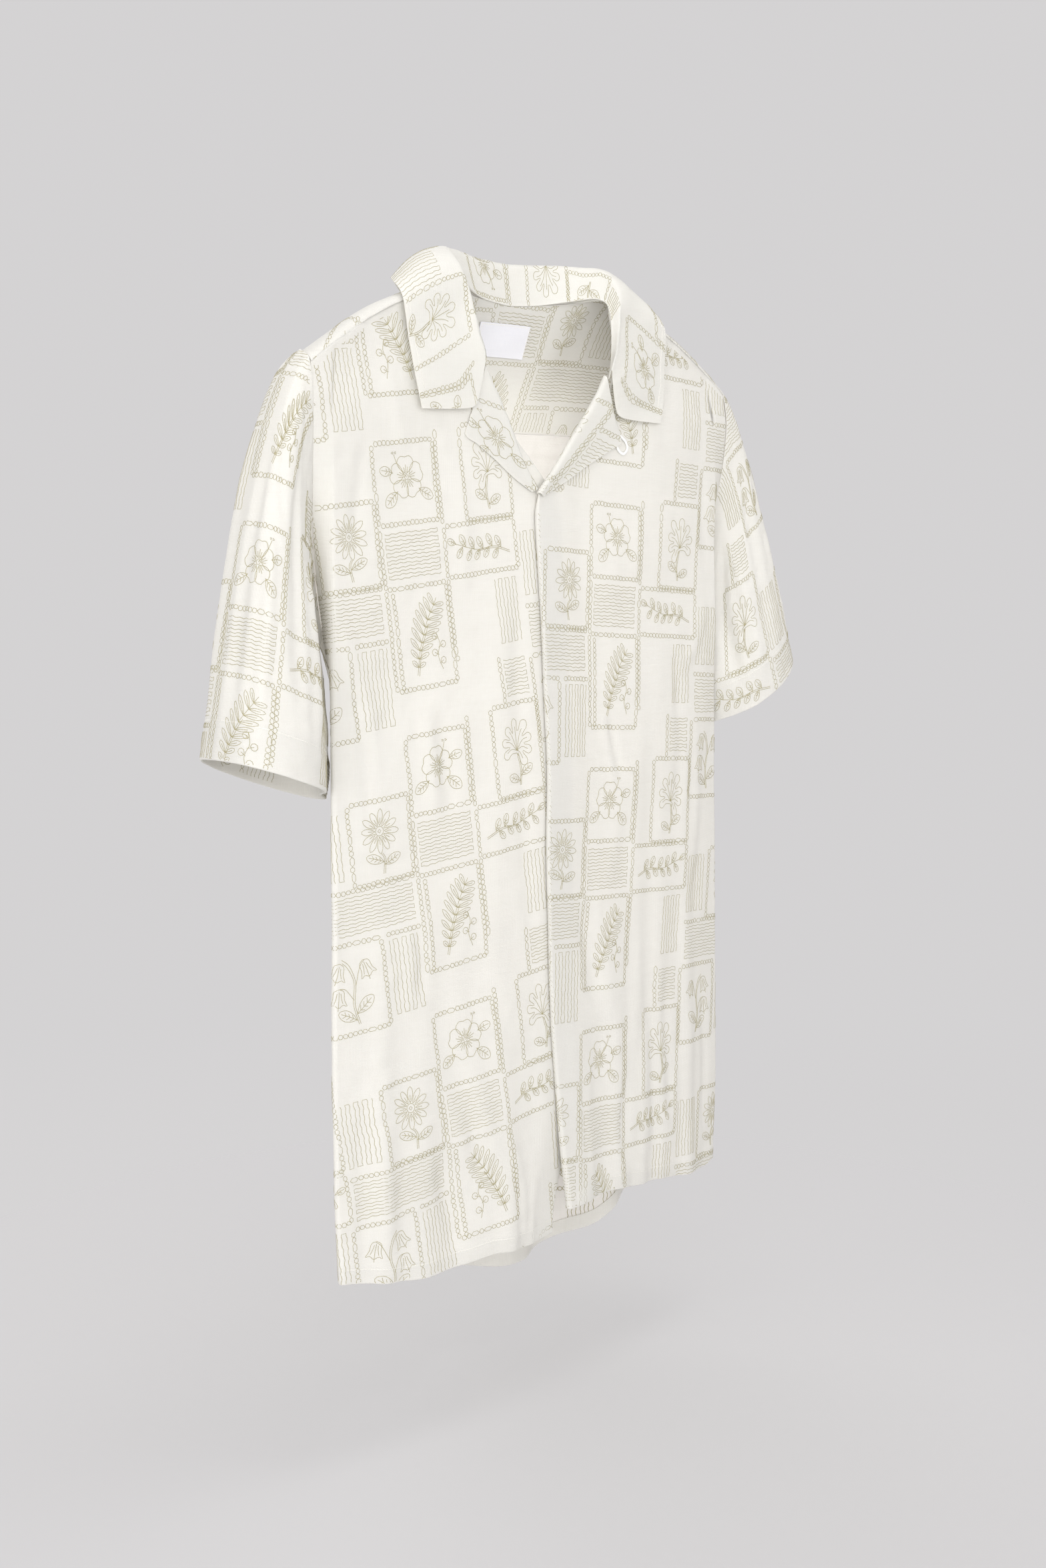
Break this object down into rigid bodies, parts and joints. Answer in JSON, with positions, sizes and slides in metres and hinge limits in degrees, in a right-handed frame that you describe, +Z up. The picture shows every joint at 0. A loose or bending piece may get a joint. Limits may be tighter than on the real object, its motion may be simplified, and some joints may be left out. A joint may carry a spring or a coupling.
{
  "type": "hawaiian shirt",
  "caption": "Short-sleeved camp-collar shirt, filled out with no wearer: hollow cloth body, two sleeves, turned collar and lapels.",
  "frame": {"origin": "on the centre line between the two side neck points, where the wearer's shoulders carry the shirt", "axes": "+Z up, the front faces -Y, the wearer's left is +X"},
  "size_m": [0.6021, 0.15, 0.8344],
  "materials": {
    "cloth": "matte plain-weave cotton with outline embroidery",
    "plain_cloth": "matte plain-weave cotton",
    "label": "smooth woven satin",
    "cord": "smooth braided cord",
    "button": "pearly"
  },
  "bodies": {
    "root": {"right_front": "cloth", "left_front": "cloth", "left_facing": "plain_cloth", "back": "cloth", "yoke": "cloth", "inner_yoke": "cloth", "right_sleeve": "cloth", "left_sleeve": "cloth", "collar": "cloth", "right_lapel": "cloth", "left_lapel": "cloth", "label": "label", "button_loop": "cord", "button_1": "button", "button_2": "button", "button_3": "button", "button_4": "button", "button_5": "button"}
  },
  "joints": []
}
